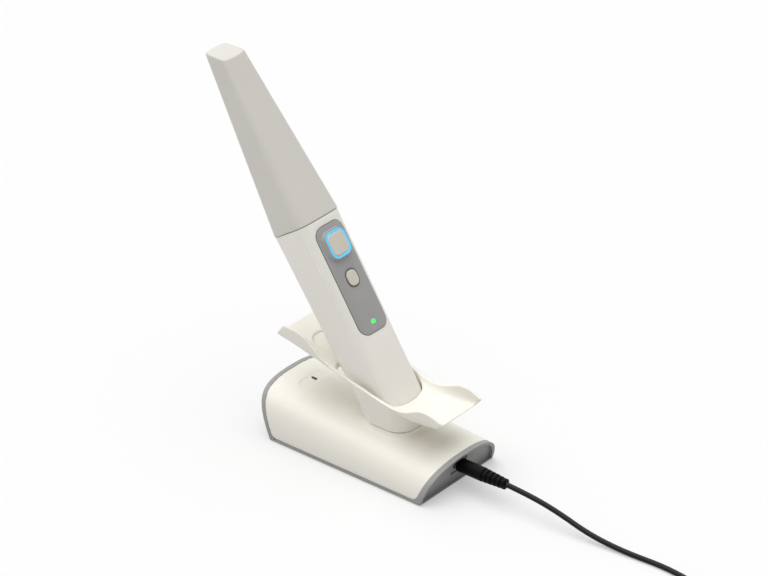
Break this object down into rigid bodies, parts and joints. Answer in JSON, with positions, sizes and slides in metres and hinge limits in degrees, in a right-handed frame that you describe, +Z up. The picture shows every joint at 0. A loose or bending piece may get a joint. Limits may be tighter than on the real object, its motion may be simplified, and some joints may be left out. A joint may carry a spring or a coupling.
{
  "type": "wireless intraoral scanner in a charging cradle",
  "caption": "Wireless intraoral scanner leaning back in its ivory charging cradle, with a lit scan button, a removable tip sleeve and a black power lead.",
  "frame": {"origin": "centre of the rubber pad, on the table", "axes": "+X to the end with the power inlet, +Y across the cradle, +Z up"},
  "size_m": [0.5618, 0.075, 0.2466],
  "materials": {
    "white_shell": "satin warm white ABS",
    "sleeve_white": "fine matt autoclavable polymer",
    "ivory_shell": "satin ivory ABS",
    "grey_trim": "matt grey ABS",
    "grey_panel": "smooth grey overlay",
    "button_grey": "warm grey button plastic",
    "ring_blue": "lit blue light guide",
    "led_green": "lit green light guide",
    "clear_glass": "clear glass",
    "mirror_face": "front surface mirror",
    "dark_optics": "black optics housing",
    "board_green": "green circuit board",
    "cell_wrap": "blue battery wrap",
    "gold_contact": "gold plated contact",
    "screw_steel": "zinc plated steel",
    "ballast_steel": "plain steel plate",
    "soft_rubber": "soft black rubber",
    "lead_black": "black flexible PVC",
    "plug_nickel": "nickel plated barrel",
    "frame_grey": "dark grey chassis plastic"
  },
  "bodies": {
    "cradle": {"nose_tube": "dark_optics", "nose_window": "clear_glass", "sleeve_seal": "soft_rubber", "front_cover": "white_shell", "rear_housing": "white_shell", "control_panel": "grey_panel", "button_light_ring": "ring_blue", "status_light": "led_green", "button_board": "board_green", "main_board": "board_green", "chassis": "frame_grey", "battery_pack": "cell_wrap", "optics_block": "dark_optics", "sensor_board": "board_green", "projector_lens": "clear_glass", "camera_lenses": "clear_glass", "contact_pads": "gold_contact", "housing_screws": "screw_steel", "base_cover": "ivory_shell", "base_tray": "grey_trim", "holder": "ivory_shell", "contact_block": "frame_grey", "charge_board": "board_green", "dc_jack": "dark_optics", "base_light_pipe": "dark_optics", "ballast_plate": "ballast_steel", "anti_slip_pad": "soft_rubber", "base_screws": "screw_steel", "dc_plug": "lead_black", "plug_barrel": "plug_nickel", "cord_tube": "lead_black", "cord_coil": "lead_black", "power_adapter": "dark_optics", "adapter_pins": "plug_nickel"},
    "scan_button": {"scan_button": "button_grey"},
    "mode_button": {"mode_button": "button_grey"},
    "tip": {"tip_sleeve": "sleeve_white", "tip_window": "clear_glass", "tip_mirror": "mirror_face"},
    "charge_pin_left": {"charge_pin_left": "gold_contact"},
    "charge_pin_right": {"charge_pin_right": "gold_contact"}
  },
  "joints": [
    {"name": "scan_button_press", "type": "slide", "parent": "cradle", "child": "scan_button", "axis": [-0.8281, 0, -0.5606], "range_m": [0, 0.0008], "stiffness_N_per_m": 1500, "springref_m": -0.0008},
    {"name": "mode_button_press", "type": "slide", "parent": "cradle", "child": "mode_button", "axis": [-0.8281, 0, -0.5606], "range_m": [0, 0.0005], "stiffness_N_per_m": 1500, "springref_m": -0.0008},
    {"name": "tip_pull_off", "type": "slide", "parent": "cradle", "child": "tip", "axis": [-0.5606, 0, 0.8281], "range_m": [0, 0.105]},
    {"name": "charge_pin_left_slide", "type": "slide", "parent": "cradle", "child": "charge_pin_left", "axis": [0, 0, -1], "range_m": [0, 0.0008], "stiffness_N_per_m": 300, "springref_m": -0.001},
    {"name": "charge_pin_right_slide", "type": "slide", "parent": "cradle", "child": "charge_pin_right", "axis": [0, 0, -1], "range_m": [0, 0.0008], "stiffness_N_per_m": 300, "springref_m": -0.001}
  ]
}
